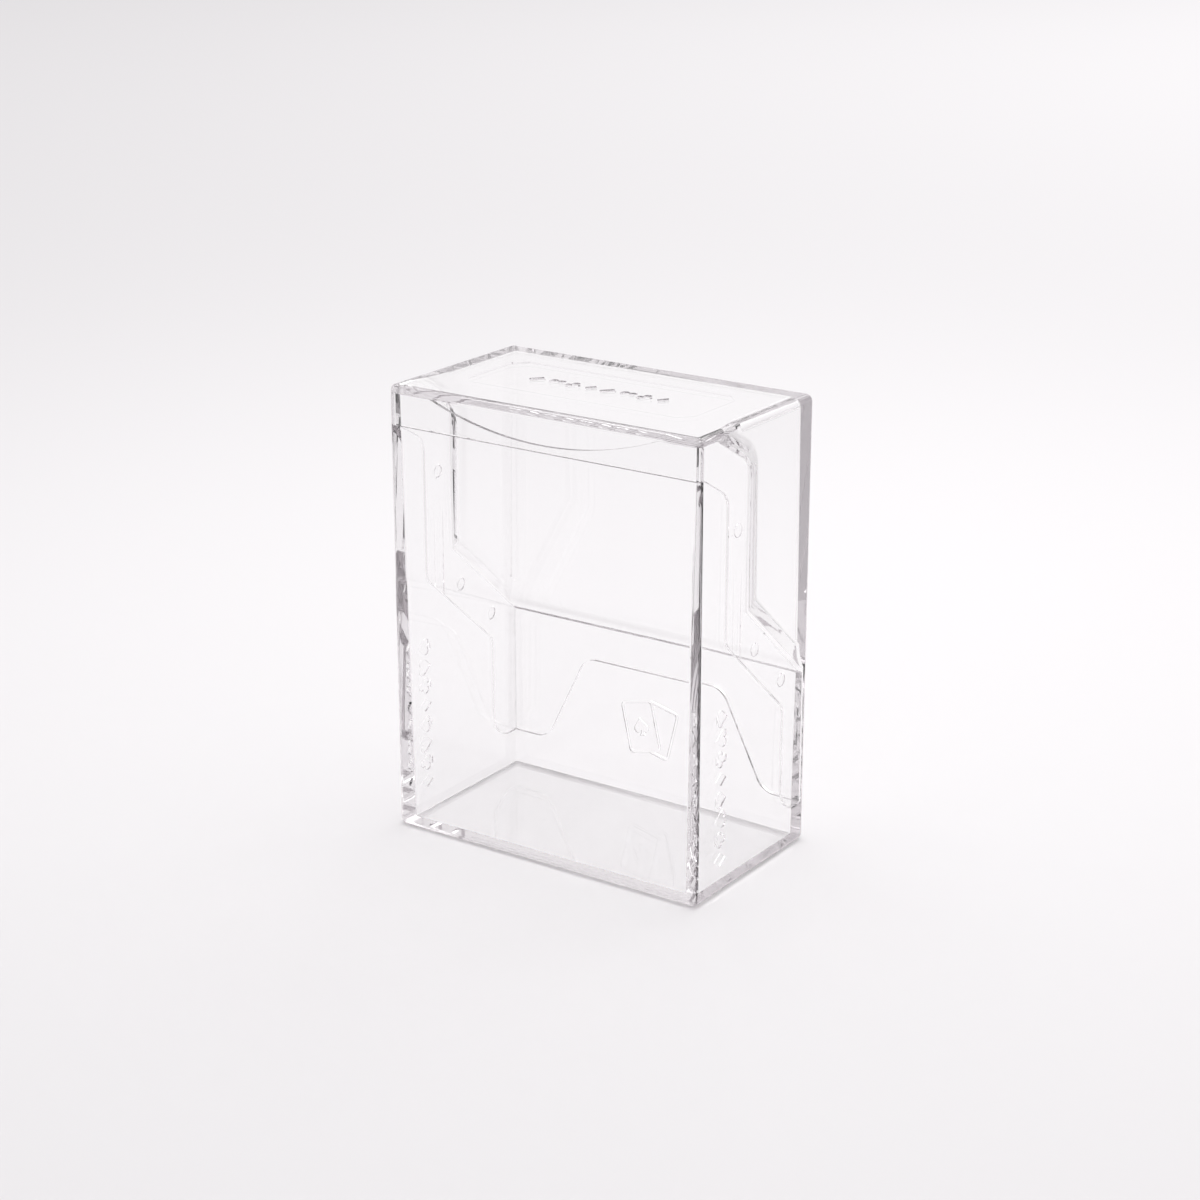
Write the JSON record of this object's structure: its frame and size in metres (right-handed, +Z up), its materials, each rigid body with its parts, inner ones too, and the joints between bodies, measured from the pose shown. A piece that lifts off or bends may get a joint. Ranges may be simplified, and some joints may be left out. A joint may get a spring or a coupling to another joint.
{
  "type": "card deck box",
  "caption": "Clear rigid deck box: a stepped tray with an inner lip and thumb notch, closed by a lift-off lid whose skirt slides down flush over the lip.",
  "frame": {"origin": "middle of the closed box's footprint, on the surface it stands on", "axes": "+Z up, the way the lid lifts; +X across the broad front; +Y from the front to the back"},
  "size_m": [0.076, 0.043, 0.098],
  "materials": {
    "clear_box": "clear injection-moulded polystyrene, polished",
    "clear_lid": "clear injection-moulded polystyrene, polished"
  },
  "bodies": {
    "box": {"box": "clear_box"},
    "lid": {"lid": "clear_lid"}
  },
  "joints": [
    {"name": "lid_lift", "type": "slide", "parent": "box", "child": "lid", "axis": [0, 0, 1], "range_m": [0, 0.09]}
  ]
}
